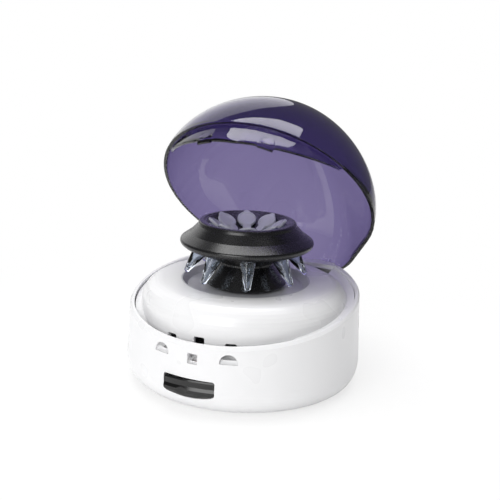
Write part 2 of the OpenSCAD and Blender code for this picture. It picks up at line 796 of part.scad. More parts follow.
// Tinted dome with its skirt, two latch tabs and the tongue of the lid switch
module lid_dome() {
    color([0.35, 0.3, 0.5, 0.6]) opened() difference() {
        union() {
            on_rim() difference() {
                dome_block(0, seat_gap);
                dome_block(dome_t, -1);
            }
            on_rim() intersection() {
                yoke_screw_places() translate([0, 0, seat_gap + yoke_t])
                    cylinder(r = 3.2, h = 8, $fn = 32);
                translate([0, tail_d, 0]) cylinder(r = tail_r - dome_t / 2, h = far);
            }
            skirt();
        }
        on_rim() yoke_screw_places() cylinder(r = yoke_screw_t, h = seat_gap + yoke_t + 7, $fn = 32);
    }
}

// Heights at which the skirt starts and ends at the front of the shut lid
skirt_top_z = rim_at(-skirt_r);
skirt_low_z = skirt_top_z - skirt_depth / cos(rim_tilt);
// Heights between which the skirt's cones are drawn
cone_low = skirt_low_z - 4;
cone_high = skirt_top_z + 8;
flange_t = 1.4;

// Cone with one of the skirt's faces, upright in the shut lid, from its radius at the top and its draft
module skirt_cone(top_r, draft, more) {
    low = cone_low - more;
    high = cone_high + more;
    slope = draft / skirt_depth;
    low_r = top_r - slope * (skirt_top_z - low);
    high_r = top_r - slope * (skirt_top_z - high);
    translate([0, 0, low]) cylinder(r1 = low_r, r2 = high_r, h = high - low, $fn = 128);
}

// Skirt that runs out towards the sides, with its tabs, catches and the flange that joins it to the dome
module skirt() {
    difference() {
        union() {
            intersection() {
                skirt_cone(skirt_r, skirt_draft, 0);
                skirt_region();
            }
            on_rim() translate([0, 0, seat_gap + 0.2])
                cylinder(r = lid_r - dome_t / 2, h = flange_t, $fn = 128);
            // half-moon catches that stand in front of their windows
            for (side = [-1, 1]) round_front(side * latch_angle) intersection() {
                skirt_cone(skirt_r + catch_proud, skirt_draft, 0);
                translate([0, -skirt_r, window_z + 0.5]) half_moon(window_w - 1.4, window_h - 1, 3);
            }
        }
        skirt_cone(skirt_r - skirt_t, skirt_draft / 2, 1);
        on_rim() translate([-far / 2, -skirt_r + skirt_run, -far / 2]) cube([far, far, far]);
    }
}

// Where the skirt has material: above its slanted edge, in the two tabs and in the tongue
module skirt_region() {
    // height of the skirt's edge at a tab
    edge_z = skirt_low_z + skirt_r * (1 - cos(latch_angle)) * (tan_tilt + skirt_depth / skirt_run);
    difference() {
        below_rim(seat_gap + flange_t / 2);
        on_rim() below_run(-skirt_depth);
    }
    for (side = [-1, 1]) round_front(side * latch_angle)
        translate([-tab_w / 2, -far / 2, edge_z - tab_len]) cube([tab_w, far / 2, tab_len + 4]);
    translate([-tongue_w / 2, -far / 2, tongue_end_z]) cube([tongue_w, far / 2, 4]);
}

// Plate under the dome's tail with two knuckles that turn on the pin
module hinge_yoke() {
    arm_t = 7;
    color("#d8d8dc") opened() on_rim() difference() {
        union() {
            intersection() {
                translate([0, tail_d, seat_gap]) cylinder(r = tail_r - dome_t - 1.2, h = yoke_t, $fn = 96);
                translate([-yoke_half, hinge_y + 5, 0]) cube([2 * yoke_half, far, 10]);
            }
            for (side = [-1, 1]) translate([side * knuckle_x, hinge_v, hinge_w]) {
                rotate([0, 90, 0]) cylinder(r = knuckle_r, h = knuckle_w, center = true);
                intersection() {
                    rotate([40, 0, 0]) translate([-knuckle_w / 2, 0, -arm_t / 2])
                        cube([knuckle_w, 24, arm_t]);
                    translate([-far / 2, -far / 2, -far - hinge_w + seat_gap + 1]) cube([far, far, far]);
                }
            }
        }
        for (side = [-1, 1]) translate([side * knuckle_x, hinge_v, hinge_w]) rotate([0, 90, 0])
            cylinder(r = pin_r + turn_gap, h = knuckle_w * 2, center = true);
        yoke_screw_places() {
            cylinder(r = yoke_screw_t + 0.4, h = 10, $fn = 32);
            cylinder(r = 2.8, h = yoke_seat, $fn = 32);
        }
    }
}

module yoke_screws() {
    color("silver") opened() on_rim() yoke_screw_places() translate([0, 0, yoke_seat])
        screw(yoke_screw_len, yoke_screw_t, 2.5, 1.3);
}

module motor_shaft() {
    low = motor_plate_z - motor_h + 2.5;
    color("silver") translate([0, 0, low]) cylinder(r = shaft_r, h = rotor_nut_z + 3.6 - low, $fn = 32);
}

// Angle at which the rotor has stopped
rotor_turn = 25.3;
hub_r = 9;
rotor_nut_z = seat_z - (seat_r - hub_r) * tan(tube_lean);

// Axis of one tube, from its seat outward and down
module on_tube_axis() {
    translate([0, -seat_r, seat_z]) rotate([-tube_lean, 0, 0]) children();
}

// Rotor with a dish on top, a waisted foot below and a leaning hole for each tube
module rotor() {
    rise = tan(tube_lean);
    dish_r = 26.4;
    dish_z = seat_z + (dish_r - seat_r) * rise;
    hub_z = seat_z - (seat_r - hub_r) * rise;
    bore_r = shaft_r + turn_gap / 2;
    lip_z = rotor_widest_z - rotor_lip;
    tip_r = 2.2;
    ring_t = 1.2;
    color("#202022") difference() {
        rotate_extrude($fn = 128) polygon(concat(
            [[bore_r, rotor_foot_z], [cone_foot_r - 1, rotor_foot_z], [cone_foot_r, rotor_foot_z + 1]],
            [[cone_neck_r, neck_z - 1.4], [cone_neck_r + ring_t, neck_z - 1.2]],
            [[cone_neck_r + ring_t, neck_z]],
            [[cone_neck_r + ring_t - 0.3, neck_z + 0.2], [rotor_r - tip_r, lip_z]],
            arc(rotor_r - tip_r, rotor_widest_z, tip_r, -55, 45, 6),
            [[rotor_r - 6.4, rotor_widest_z + 5.6], [rotor_top_r + 1.6, rotor_top_z - 2.6]],
            arc(rotor_top_r - 0.4, rotor_top_z - 1.8, 1.8, 20, 90, 4), [[rotor_top_r - 2, rotor_top_z]],
            [[dish_r + 0.8, dish_z], [dish_r, dish_z], [hub_r, hub_z], [bore_r, hub_z]]));
        for (i = [0 : tubes - 1]) rotate([0, 0, rotor_turn + i * 360 / tubes]) on_tube_axis() {
            translate([0, 0, -60]) cylinder(r = tube_r + tube_gap, h = 80, $fn = 48);
            cylinder(r = cap_r + seat_gap, h = 20, $fn = 48);
        }
    }
}
// Knurled nut that holds the rotor on the shaft
module rotor_nut() {
    r = 7;
    h = 5.4;
    color("#303032") translate([0, 0, rotor_nut_z]) difference() {
        rotate_extrude() polygon([[0, 0], [r, 0], [r, h - 1], [r - 1, h], [0, h]]);
        translate([0, 0, -1]) cylinder(r = shaft_r + turn_gap / 2, h = h - 0.6);
        // grip flutes
        screw_places(r + 0.6, 0, 12) translate([0, 0, 1.2]) cylinder(r = 1.2, h = h, $fn = 24);
    }
}

// Microtube with a lip, a straight body and a tapered end with a rounded tip
module tube() {
    tip_z = -tube_len;
    ball_z = tip_z + tube_tip_r;
    cone_z = tip_z + tube_taper;
    bore_r = tube_r - tube_wall;
    color([0.85, 0.9, 0.95, 0.5]) on_tube_axis() rotate_extrude($fn = 48) polygon(concat(
        [[0, tip_z]], arc(0, ball_z, tube_tip_r, -60, 0, 2),
        [[tube_r, cone_z], [tube_r, 0], [cap_r, 0], [cap_r, lip_t], [bore_r, lip_t], [bore_r, cone_z]],
        [[tube_tip_r - tube_wall / 2, ball_z + 0.5], [0, tip_z + tube_wall]]));
}

// Frosted cap with a thumb tab inward and the strap that joins it to the tube's lip outward
module tube_cap() {
    color("white") on_tube_axis() translate([0, 0, lip_t]) union() {
        cylinder(r = cap_r, h = cap_t - 0.4, $fn = 48);
        cylinder(r = cap_r - 0.4, h = cap_t, $fn = 48);
        translate([0, 0, -3]) cylinder(r = tube_r - tube_wall - 0.05, h = 3 + eps, $fn = 48);
        cap_tab(5.4, cap_r + thumb_tab, cap_t - 1.4, 1.2);
        mirror([0, 1, 0]) cap_tab(5, cap_r + 1.4, 0, cap_t - 0.4);
    }
}

// Tab of a width with a round end at a reach from the cap's middle
module cap_tab(w, reach, z, t) {
    translate([-w / 2, 0, z]) cube([w, reach - w / 2, t]);
    translate([0, reach - w / 2, z]) cylinder(r = w / 2, h = t, $fn = 32);
}

base_shell();
bottom_plate();
rubber_feet();
bottom_screws();
top_cover();
bowl_liner();
hinge_pin();
friction_washers();
motor_can();
motor_plate();
rubber_mounts();
mount_screws();
motor_screws();
control_board();
switch_body();
rocker_pin();
power_rocker();
lid_switch();
lid_switch_plunger();
power_inlet();
inlet_pin();
lid_dome();
hinge_yoke();
yoke_screws();
motor_shaft();
rotor();
rotor_nut();
for (i = [1 : tubes]) {
    rotate([0, 0, rotor_turn + i * 360 / tubes]) tube();
    rotate([0, 0, rotor_turn + i * 360 / tubes]) tube_cap();
}
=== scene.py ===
"""Looks of the palm-size mini centrifuge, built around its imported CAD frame."""

import json
import math

import bmesh
import bpy
from mathutils import Matrix, Vector


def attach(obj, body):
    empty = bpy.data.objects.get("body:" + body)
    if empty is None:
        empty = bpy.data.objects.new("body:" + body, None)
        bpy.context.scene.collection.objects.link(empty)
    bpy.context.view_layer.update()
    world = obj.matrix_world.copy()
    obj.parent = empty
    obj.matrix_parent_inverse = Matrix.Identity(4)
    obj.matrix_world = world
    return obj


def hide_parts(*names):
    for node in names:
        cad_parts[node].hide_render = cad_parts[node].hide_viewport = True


bl_info = {
    "name": "Mini centrifuge looks",
    "version": (1, 0, 0),
    "blender": (4, 5, 0),
    "location": "3D View > Sidebar > Centrifuge",
    "description": "Builds the visible pieces and materials of a mini centrifuge",
    "category": "Object",
}

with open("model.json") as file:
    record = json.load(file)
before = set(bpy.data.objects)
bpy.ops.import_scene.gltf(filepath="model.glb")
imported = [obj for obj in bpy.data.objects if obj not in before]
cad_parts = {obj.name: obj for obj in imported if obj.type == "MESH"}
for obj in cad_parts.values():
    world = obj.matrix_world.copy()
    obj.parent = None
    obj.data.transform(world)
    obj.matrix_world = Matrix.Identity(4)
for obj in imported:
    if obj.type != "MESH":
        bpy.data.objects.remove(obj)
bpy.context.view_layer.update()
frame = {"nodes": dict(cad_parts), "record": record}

MM = 0.001
FULL_TURN = 2 * math.pi


# Colour and node helpers

def linear(hex_colour):
    """Turns an sRGB hex value into an opaque linear colour."""
    channels = [int(hex_colour[i:i + 2], 16) / 255 for i in (1, 3, 5)]
    return tuple(
        c / 12.92 if c <= 0.04045 else ((c + 0.055) / 1.055) ** 2.4 for c in channels
    ) + (1.0,)


def add_node(tree, kind, settings=None, inputs=None, links=()):
    """Adds one node, sets its properties and sockets, and links it."""
    node = tree.nodes.new(kind)
    for name, value in (settings or {}).items():
        setattr(node, name, value)
    for name, value in (inputs or {}).items():
        node.inputs[name].default_value = value
    for source, output, target in links:
        tree.links.new(source.outputs[output], node.inputs[target])
    return node


def new_material(name):
    """Starts a node material and returns it with its tree and shader."""
    material = bpy.data.materials.new(name)
    material.use_nodes = True
    tree = material.node_tree
    return material, tree, tree.nodes["Principled BSDF"]


def object_noise(tree, size_mm, detail=2.0):
    """Noise whose grains are about size_mm across, in the object's own space."""
    place = add_node(tree, "ShaderNodeTexCoord")
    return add_node(
        tree, "ShaderNodeTexNoise",
        inputs={"Scale": 1 / (size_mm * MM), "Detail": detail},
        links=[(place, "Object", "Vector")],
    )


def add_bump(tree, shader, source, output, depth_mm, strength):
    """Lets a pattern raise the surface by up to depth_mm."""
    bump = add_node(
        tree, "ShaderNodeBump",
        inputs={"Strength": strength, "Distance": depth_mm * MM},
        links=[(source, output, "Height")],
    )
    tree.links.new(bump.outputs["Normal"], shader.inputs["Normal"])


def vary_value(tree, shader, socket, source, output, low, high):
    """Lets a pattern move one socket between two values."""
    spread = add_node(
        tree, "ShaderNodeMapRange",
        inputs={"To Min": low, "To Max": high},
        links=[(source, output, "Value")],
    )
    tree.links.new(spread.outputs["Result"], shader.inputs[socket])


def vary_colour(tree, shader, source, output, dark, light):
    """Lets a pattern move the base colour between two hex colours."""
    mix = add_node(
        tree, "ShaderNodeMix", {"data_type": "RGBA"},
        links=[(source, output, "Factor")],
    )
    colour_sockets = [s for s in mix.inputs if s.type == "RGBA"]
    colour_sockets[0].default_value = linear(dark)
    colour_sockets[1].default_value = linear(light)
    result = [s for s in mix.outputs if s.type == "RGBA"][0]
    tree.links.new(result, shader.inputs["Base Color"])


def dress(node, material):
    """Gives a CAD node one material in all its slots."""
    obj = frame["nodes"][node]
    if not obj.material_slots:
        obj.data.materials.append(material)
    for slot in obj.material_slots:
        slot.material = material


def piece_from(name, bm, material, body, replaced=()):
    """Makes a bmesh into a piece that rides on a body."""
    mesh = bpy.data.meshes.new(name)
    bm.normal_update()
    bm.to_mesh(mesh)
    bm.free()
    obj = bpy.data.objects.new(name, mesh)
    bpy.context.scene.collection.objects.link(obj)
    mesh.materials.append(material)
    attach(obj, body)
    if replaced:
        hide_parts(*replaced)
    return obj


def shade_by_angle(obj, degrees):
    """Smooth faces, with edges sharper than an angle kept crisp."""
    mesh = obj.data
    mesh.polygons.foreach_set("use_smooth", [True] * len(mesh.polygons))
    mesh.set_sharp_from_angle(angle=math.radians(degrees))
    mesh.update()


def join_rings(bm, rings):
    """Joins closed rings of equal length by quads."""
    for one, two in zip(rings, rings[1:]):
        count = len(one)
        for i in range(count):
            k = (i + 1) % count
            bm.faces.new((one[i], one[k], two[k], two[i]))


def lathe(profile, steps):
    """Closed solid turned about Z from a profile of (radius, height) points, in metres."""
    bm = bmesh.new()
    rings = []
    for r, z in profile:
        if r < 1e-9:
            rings.append([bm.verts.new((0, 0, z))])
            continue
        turns = [FULL_TURN * i / steps for i in range(steps)]
        rings.append([bm.verts.new((r * math.cos(a), r * math.sin(a), z)) for a in turns])
    loop = rings if len(rings[0]) == 1 else rings + [rings[0]]
    for one, two in zip(loop, loop[1:]):
        if len(one) == len(two) == 1:
            continue
        for i in range(steps):
            k = (i + 1) % steps
            corners = [
                one[i % len(one)], one[k % len(one)], two[k % len(two)], two[i % len(two)],
            ]
            bm.faces.new(list(dict.fromkeys(corners)))
    bmesh.ops.recalc_face_normals(bm, faces=bm.faces)
    return bm


def plate(outline, low, high, bevel):
    """Closed plate with bevelled edges from an outline round the origin's Z direction."""
    bm = bmesh.new()
    count = len(outline)
    middle = sum((Vector(p) for p in outline), Vector((0, 0))) / count

    def ring(inset, z):
        points = []
        for i, p in enumerate(outline):
            before, after = Vector(outline[i - 1]), Vector(outline[(i + 1) % count])
            along = (after - before).normalized()
            inward = Vector((-along.y, along.x))
            if inward.dot(middle - Vector(p)) < 0:
                inward = -inward
            q = Vector(p) + inward * inset
            points.append(bm.verts.new((q.x, q.y, z)))
        return points

    rings = [ring(bevel, low), ring(0, low + bevel), ring(0, high - bevel), ring(bevel, high)]
    join_rings(bm, rings)
    bm.faces.new(rings[0])
    bm.faces.new(rings[-1])
    bmesh.ops.recalc_face_normals(bm, faces=bm.faces)
    return bm


def merge(parts):
    """One bmesh from several."""
    whole = bmesh.new()
    for part in parts:
        mesh = bpy.data.meshes.new("part")
        part.to_mesh(mesh)
        part.free()
        whole.from_mesh(mesh)
        bpy.data.meshes.remove(mesh)
    return whole


def round_end(width, reach, root, steps=14):
    """Outline of a tab along +Y from a root to a round end."""
    r = width / 2
    turns = [math.pi * i / steps for i in range(steps + 1)]
    arc = [(r * math.cos(a), reach - r + r * math.sin(a)) for a in turns]
    return [(r, root)] + arc + [(-r, root)]


# Settings that a user would change

def length_property(name, text, value_mm):
    return bpy.props.FloatProperty(
        name=name, description=text, default=value_mm * MM, min=0.0,
        unit="LENGTH", subtype="DISTANCE", precision=5,
    )


def angle_property(name, text, degrees):
    return bpy.props.FloatProperty(
        name=name, description=text, default=math.radians(degrees),
        unit="ROTATION", subtype="ANGLE",
    )


class LidSizes(bpy.types.PropertyGroup):
    """Sizes of the dome lid, on its own rim plane."""

    rim_z: length_property("Rim height", "Height of the rim plane on the rotor's axis", 56)
    rim_tilt: angle_property("Rim slant", "Slant of the rim plane", 9.2)
    open_angle: angle_property("Opening", "Angle that the lid stands open", 57.4)
    hinge_y: length_property("Hinge depth", "Hinge axis behind the rotor's axis", 67)
    hinge_z: length_property("Hinge height", "Height of the hinge axis", 56.4)
    radius: length_property("Front radius", "Radius of the lid's round front", 73.6)
    height: length_property("Dome height", "Height of the dome above its rim", 67)
    power: bpy.props.FloatProperty(
        name="Curve", description="Exponent of the dome's curve, 2 is an ellipse",
        default=1.75, min=1.2, max=3.0,
    )
    wall: length_property("Wall", "Thickness of the dome", 2.3)
    tail_distance: length_property("Tail distance", "Tail's centre behind the axis", 35)
    tail_radius: length_property("Tail radius", "Radius of the tail", 57)
    skirt_radius: length_property("Skirt radius", "Outer radius of the skirt", 70.2)
    skirt_depth: length_property("Skirt depth", "Depth of the skirt below the rim", 12.3)
    skirt_wall: length_property("Skirt wall", "Thickness of the skirt", 2.0)
    skirt_draft: length_property("Skirt draft", "Narrowing of the skirt downwards", 1.0)
    skirt_run: length_property(
        "Skirt run", "Distance from the front over which the skirt runs out", 31)
    tab_angle: angle_property("Tab angle", "Angle of the latch tabs to each side of the front", 17)
    tab_width: length_property("Tab width", "Width of a latch tab", 10.3)
    tab_length: length_property("Tab length", "Length of a latch tab below the skirt", 2.6)
    tongue_width: length_property("Tongue width", "Width of the lid switch's tongue", 6)
    tongue_length: length_property("Tongue length", "Length of the tongue below the skirt", 1.2)
    catch_width: length_property("Catch width", "Width of a half-moon catch", 9.6)
    catch_height: length_property("Catch height", "Height of a half-moon catch", 5.2)
    catch_z: length_property("Catch place", "Height of a catch's flat edge, lid shut", 34.83)
    catch_proud: length_property("Catch proud", "How far a catch stands proud", 0.5)


class TubeSizes(bpy.types.PropertyGroup):
    """Sizes of the microtubes and their places in the rotor."""

    lean: angle_property("Lean", "Lean of a tube from upright", 33)
    turn: angle_property("Rotor turn", "Angle at which the rotor stopped", 25.3)
    seat_radius: length_property("Seat radius", "Distance of a seat's middle from the axis", 19.5)
    seat_z: length_property("Seat height", "Height of a seat's middle", 99)
    radius: length_property("Radius", "Radius of a tube's upper body", 5.4)
    wall: length_property("Wall", "Wall of a tube", 0.9)
    length: length_property("Length", "Length of a tube below its lip", 36)
    taper: length_property("Taper", "Length of the tapered end", 18.5)
    tip: length_property("Tip radius", "Radius of the rounded tip", 2.0)
    step: length_property("Step", "Height of the bore's step above the tip", 10)
    lip: length_property("Lip", "Thickness of the lip", 1.2)
    cap_radius: length_property("Cap radius", "Radius of the lip and of the cap", 6.2)
    cap_height: length_property("Cap thickness", "Thickness of the cap", 1.8)
    thumb_tab: length_property("Thumb tab", "Reach of the thumb tab beyond the cap", 4)


class FinishColours(bpy.types.PropertyGroup):
    """Colours of the main finishes, as sRGB hex values."""

    housing: bpy.props.StringProperty(
        name="Housing", description="White of the base and the cover", default="#E9E9EA")
    dome: bpy.props.StringProperty(
        name="Dome", description="Tint of the clear dome", default="#DCD8EA")
    tube: bpy.props.StringProperty(
        name="Tube", description="Colour of the clear tubes", default="#EAF1FA")
    cap: bpy.props.StringProperty(
        name="Cap", description="Milky colour of the caps", default="#E4E4F0")
    floor: bpy.props.StringProperty(
        name="Floor", description="Colour of the floor and the backdrop", default="#FFFFFF")


def sizes():
    return bpy.context.scene.centrifuge_lid


def tube_sizes():
    return bpy.context.scene.centrifuge_tubes


def colours():
    return bpy.context.scene.centrifuge_colours


# Materials

def moulded_abs(name, hex_colour, roughness=0.28):
    # ABS or acetal, injection moulded in a polished mould: even colour and a clean soft gloss
    # that is a little duller in slow, wide patches.
    material, tree, shader = new_material(name)
    shader.inputs["Base Color"].default_value = linear(hex_colour)
    shader.inputs["IOR"].default_value = 1.53
    patches = object_noise(tree, 25.0, 1.0)
    vary_value(tree, shader, "Roughness", patches, "Fac", roughness * 0.92, roughness * 1.08)
    return material


def satin_plastic(name, dark, light, roughness, grain_mm):
    # Glass-filled nylon or ABS from a spark-eroded mould: a fine grain that
    # spreads the light and hides finger marks.
    material, tree, shader = new_material(name)
    grain = object_noise(tree, grain_mm, 4.0)
    shader.inputs["IOR"].default_value = 1.52
    vary_colour(tree, shader, grain, "Fac", dark, light)
    vary_value(tree, shader, "Roughness", grain, "Fac", roughness * 0.85, roughness * 1.15)
    add_bump(tree, shader, grain, "Fac", 0.01, 0.06)
    return material


def turned_metal(name, hex_colour, roughness):
    # Steel or brass, zinc-plated, turned or ground: metal with fine lathe or rolling marks.
    material, tree, shader = new_material(name)
    shader.inputs["Base Color"].default_value = linear(hex_colour)
    shader.inputs["Metallic"].default_value = 1.0
    marks = object_noise(tree, 0.6, 3.0)
    vary_value(tree, shader, "Roughness", marks, "Fac", roughness * 0.7, roughness * 1.3)
    add_bump(tree, shader, marks, "Fac", 0.01, 0.15)
    return material


# What the dye lets through, and how much it takes per metre
DYE_COLOUR = (0.12, 0.03, 0.37, 1.0)
DYE_DENSITY = 620.0


def tinted_polycarbonate():
    # Polycarbonate, injection moulded and dyed smoke-violet through its whole
    # thickness: clear and glossy, and nearly black where the eye looks along the wall.
    material, tree, shader = new_material("tinted_polycarbonate")
    shader.inputs["Base Color"].default_value = linear(colours().dome)
    shader.inputs["Transmission Weight"].default_value = 1.0
    shader.inputs["IOR"].default_value = 1.5
    shader.inputs["Roughness"].default_value = 0.02
    dye = add_node(tree, "ShaderNodeVolumeAbsorption",
                   inputs={"Color": DYE_COLOUR, "Density": DYE_DENSITY})
    tree.links.new(dye.outputs["Volume"], tree.nodes["Material Output"].inputs["Volume"])
    return material


def clear_polypropylene(name, hex_colour, roughness):
    # Polypropylene, injection moulded thin in a polished mould: clear with a soft
    # gloss, bright along its edges and a little blue in its thick end.
    material, tree, shader = new_material(name)
    shader.inputs["Base Color"].default_value = linear(hex_colour)
    shader.inputs["Transmission Weight"].default_value = 1.0
    shader.inputs["IOR"].default_value = 1.49
    haze = object_noise(tree, 3.0, 2.0)
    vary_value(tree, shader, "Roughness", haze, "Fac", roughness * 0.7, roughness * 1.3)
    return material


def frosted_polypropylene(name, hex_colour, roughness):
    # The caps' polypropylene, moulded against a blasted steel face: milky, with
    # light coming through the thin tabs.
    material, tree, shader = new_material(name)
    shader.inputs["Base Color"].default_value = linear(hex_colour)
    shader.inputs["Transmission Weight"].default_value = 0.55
    shader.inputs["IOR"].default_value = 1.49
    blast = object_noise(tree, 0.5, 3.0)
    vary_value(tree, shader, "Roughness", blast, "Fac", roughness * 0.8, roughness * 1.2)
    add_bump(tree, shader, blast, "Fac", 0.03, 0.25)
    return material


# Pieces

SEAT_GAP = 0.3 * MM
FLANGE_TOP = 1.9 * MM
EDGE_ROUND = 0.4 * MM
SIDE_STEPS = 14
TAIL_STEPS = 44
DOME_LEVELS = 44
SKIRT_ROWS = 14
TURN_STEPS = 48
# How far the dome's inner wall starts above the flange
FLANGE_STEP = 0.2 * MM
FLANGE_CLEAR = 0.8 * MM


def rim_matrix():
    """Takes what is drawn upright and level onto the slanted rim plane of the shut lid."""
    s = sizes()
    return Matrix.Translation((0, 0, s.rim_z)) @ Matrix.Rotation(s.rim_tilt, 4, "X")


def opening_matrix():
    """Takes the shut lid to where it stands open."""
    s = sizes()
    hinge = Vector((0, s.hinge_y, s.hinge_z))
    turn = Matrix.Rotation(-s.open_angle, 4, "X")
    return Matrix.Translation(hinge) @ turn @ Matrix.Translation(-hinge)


def front_bearings(limit):
    """Bearings of the columns round the lid's front, closer at the skirt's corners."""
    s = sizes()
    half_tab = math.asin(s.tab_width / 2 / s.skirt_radius)
    half_tongue = math.asin(s.tongue_width / 2 / s.skirt_radius)
    corners = [s.tab_angle - half_tab, s.tab_angle + half_tab, half_tongue, skirt_limit()]
    corners = corners + [-c for c in corners]
    every = [math.radians(a * 1.5) for a in range(-60, 61)]
    bearings = [b for b in every if abs(b) < limit]
    bearings = [b for b in bearings if all(abs(b - c) > 0.008 for c in corners)]
    for c in corners:
        bearings += [c - 0.001, c + 0.001]
    bearings += [math.radians(a) for a in (-112, -106, -99, -92, 92, 99, 106, 112)]
    return [-limit] + sorted(bearings) + [limit]


def skirt_limit():
    """Bearing at which the skirt has run out."""
    s = sizes()
    return math.acos((s.skirt_radius - s.skirt_run) / s.skirt_radius)


def lid_columns():
    """Columns round the lid: bearings on its front arc, then shares of side, tail and side."""
    s = sizes()
    lean = math.asin((s.radius - s.tail_radius) / s.tail_distance)
    limit = math.pi / 2 + lean
    columns = [("front", b) for b in front_bearings(limit)]
    columns += [("right", i / SIDE_STEPS) for i in range(1, SIDE_STEPS)]
    spread = FULL_TURN - 2 * limit
    columns += [("tail", limit + spread * i / TAIL_STEPS) for i in range(TAIL_STEPS + 1)]
    columns += [("left", i / SIDE_STEPS) for i in range(1, SIDE_STEPS)]
    return columns, limit


def outline_point(column, limit, inset):
    """Point of the lid's outline on the rim plane, moved in by an inset."""
    s = sizes()
    kind, value = column
    front_r, tail_r = s.radius - inset, s.tail_radius - inset
    if kind == "front":
        return Vector((front_r * math.sin(value), -front_r * math.cos(value)))
    if kind == "tail":
        return Vector((tail_r * math.sin(value), s.tail_distance - tail_r * math.cos(value)))
    side = 1 if kind == "right" else -1
    front = Vector((side * front_r * math.sin(limit), -front_r * math.cos(limit)))
    tail = Vector((side * tail_r * math.sin(limit), s.tail_distance - tail_r * math.cos(limit)))
    return front.lerp(tail, value) if side > 0 else tail.lerp(front, value)


def skirt_radii(z):
    """Outer and inner radius of the skirt at a height of the shut lid."""
    s = sizes()
    drop = (s.rim_z - s.skirt_radius * math.tan(s.rim_tilt) - z) / s.skirt_depth
    outer = s.skirt_radius - s.skirt_draft * drop
    inner = s.skirt_radius - s.skirt_wall - s.skirt_draft / 2 * drop
    return outer, inner


def skirt_edge(bearing):
    """Height of the skirt's lower edge at a bearing, with its tabs and tongue."""
    s = sizes()
    tilt, slope = s.rim_tilt, s.skirt_depth / s.skirt_run
    top = s.rim_z - s.skirt_radius * math.tan(tilt)
    low = top - s.skirt_depth / math.cos(tilt)
    if abs(bearing) * s.skirt_radius < s.tongue_width / 2:
        return low - s.tongue_length / math.cos(tilt)
    if abs(abs(bearing) - s.tab_angle) < math.asin(s.tab_width / 2 / s.skirt_radius):
        rise = s.skirt_radius * (1 - math.cos(s.tab_angle)) * (math.tan(tilt) + slope)
        return low + rise - s.tab_length
    y = -(s.skirt_radius - s.skirt_draft / 2) * math.cos(bearing)
    lift = -s.skirt_depth + slope * s.skirt_radius + y * (slope * math.cos(tilt) + math.sin(tilt))
    return s.rim_z + lift / (math.cos(tilt) - slope * math.sin(tilt))


def skirt_column(bearing):
    """Section of the skirt at a bearing: down from the rim, round, and up to the flange."""
    s = sizes()
    across = math.sin(bearing), -math.cos(bearing)

    def rim_height(offset):
        y = s.skirt_radius * across[1]
        return s.rim_z + y * math.tan(s.rim_tilt) + offset / math.cos(s.rim_tilt)

    low = skirt_edge(bearing)
    top, flange = rim_height(SEAT_GAP), rim_height(FLANGE_TOP)
    low = min(low, top - 2 * EDGE_ROUND)
    e = EDGE_ROUND
    rows = [(0, 0, top + (low + e - top) * k / 4) for k in range(5)]
    rows += [(0, 0.3 * e, low + 0.3 * e), (0, e, low), (1, -e, low), (1, -0.3 * e, low + 0.3 * e)]
    rows += [(1, 0, low + e + (flange - low - e) * k / 4) for k in range(5)]
    points = []
    for face, inward, z in rows:
        r = skirt_radii(z)[face] - inward
        points.append(Vector((r * across[0], r * across[1], z)))
    return points


def dome_shell():
    """Closed shell of the shut lid: dome, rim, flange and skirt in one skin."""
    s = sizes()
    columns, limit = lid_columns()
    onto_rim = rim_matrix()
    e = EDGE_ROUND
    rows = []

    def dome_row(inset, level, floor):
        t = math.pi / 2 * level / DOME_LEVELS
        rise, spread = math.sin(t) ** (2 / s.power), math.cos(t) ** (2 / s.power)
        z = max(floor, rise * (s.height - inset))
        row = []
        for column in columns:
            p = outline_point(column, limit, inset) * spread
            row.append(onto_rim @ Vector((p.x, p.y, z)))
        return row

    def rim_row(inset, z):
        points = [outline_point(column, limit, inset) for column in columns]
        return [onto_rim @ Vector((p.x, p.y, z)) for p in points]

    for level in range(DOME_LEVELS - 1, 0, -1):
        rows.append(dome_row(0, level, 0))
    rows += [rim_row(0, SEAT_GAP + e), rim_row(0.3 * e, SEAT_GAP + 0.3 * e), rim_row(e, SEAT_GAP)]
    # the skirt's rows, which lie along the rim's underside where there is no skirt
    skirt_columns = []
    for column in columns:
        if column[0] == "front" and abs(column[1]) < skirt_limit():
            skirt_columns.append(skirt_column(column[1]))
            continue
        outer = outline_point(column, limit, 1.5 * e)
        inner = outline_point(column, limit, s.wall - 1.5 * e)
        flat = []
        for k in range(SKIRT_ROWS):
            p = outer.lerp(inner, k / (SKIRT_ROWS - 1))
            flat.append(onto_rim @ Vector((p.x, p.y, SEAT_GAP)))
        skirt_columns.append(flat)
    rows += [[column[k] for column in skirt_columns] for k in range(SKIRT_ROWS)]
    inner_rows = []
    for inset, z in (
        (s.wall - e, SEAT_GAP), (s.wall - 0.3 * e, SEAT_GAP + 0.3 * e), (s.wall, SEAT_GAP + e),
    ):
        inner_rows.append(rim_row(inset, z))
    # on the front the inner wall starts at the flange's top
    for step, row in enumerate(inner_rows):
        for i, column in enumerate(columns):
            if column[0] == "front" and abs(column[1]) < skirt_limit():
                p = outline_point(column, limit, s.wall)
                row[i] = onto_rim @ Vector((p.x, p.y, FLANGE_TOP + FLANGE_STEP * step))
    rows += inner_rows
    for level in range(1, DOME_LEVELS):
        rows.append(dome_row(s.wall, level, FLANGE_TOP + FLANGE_CLEAR))

    bm = bmesh.new()
    rings = [[bm.verts.new(p) for p in row] for row in rows]
    join_rings(bm, rings)
    for ring, inset in ((rings[0], 0), (rings[-1], s.wall)):
        top = bm.verts.new(onto_rim @ Vector((0, 0, s.height - inset)))
        for i in range(len(ring)):
            bm.faces.new((ring[i], ring[(i + 1) % len(ring)], top))
    bmesh.ops.recalc_face_normals(bm, faces=bm.faces)
    return bm


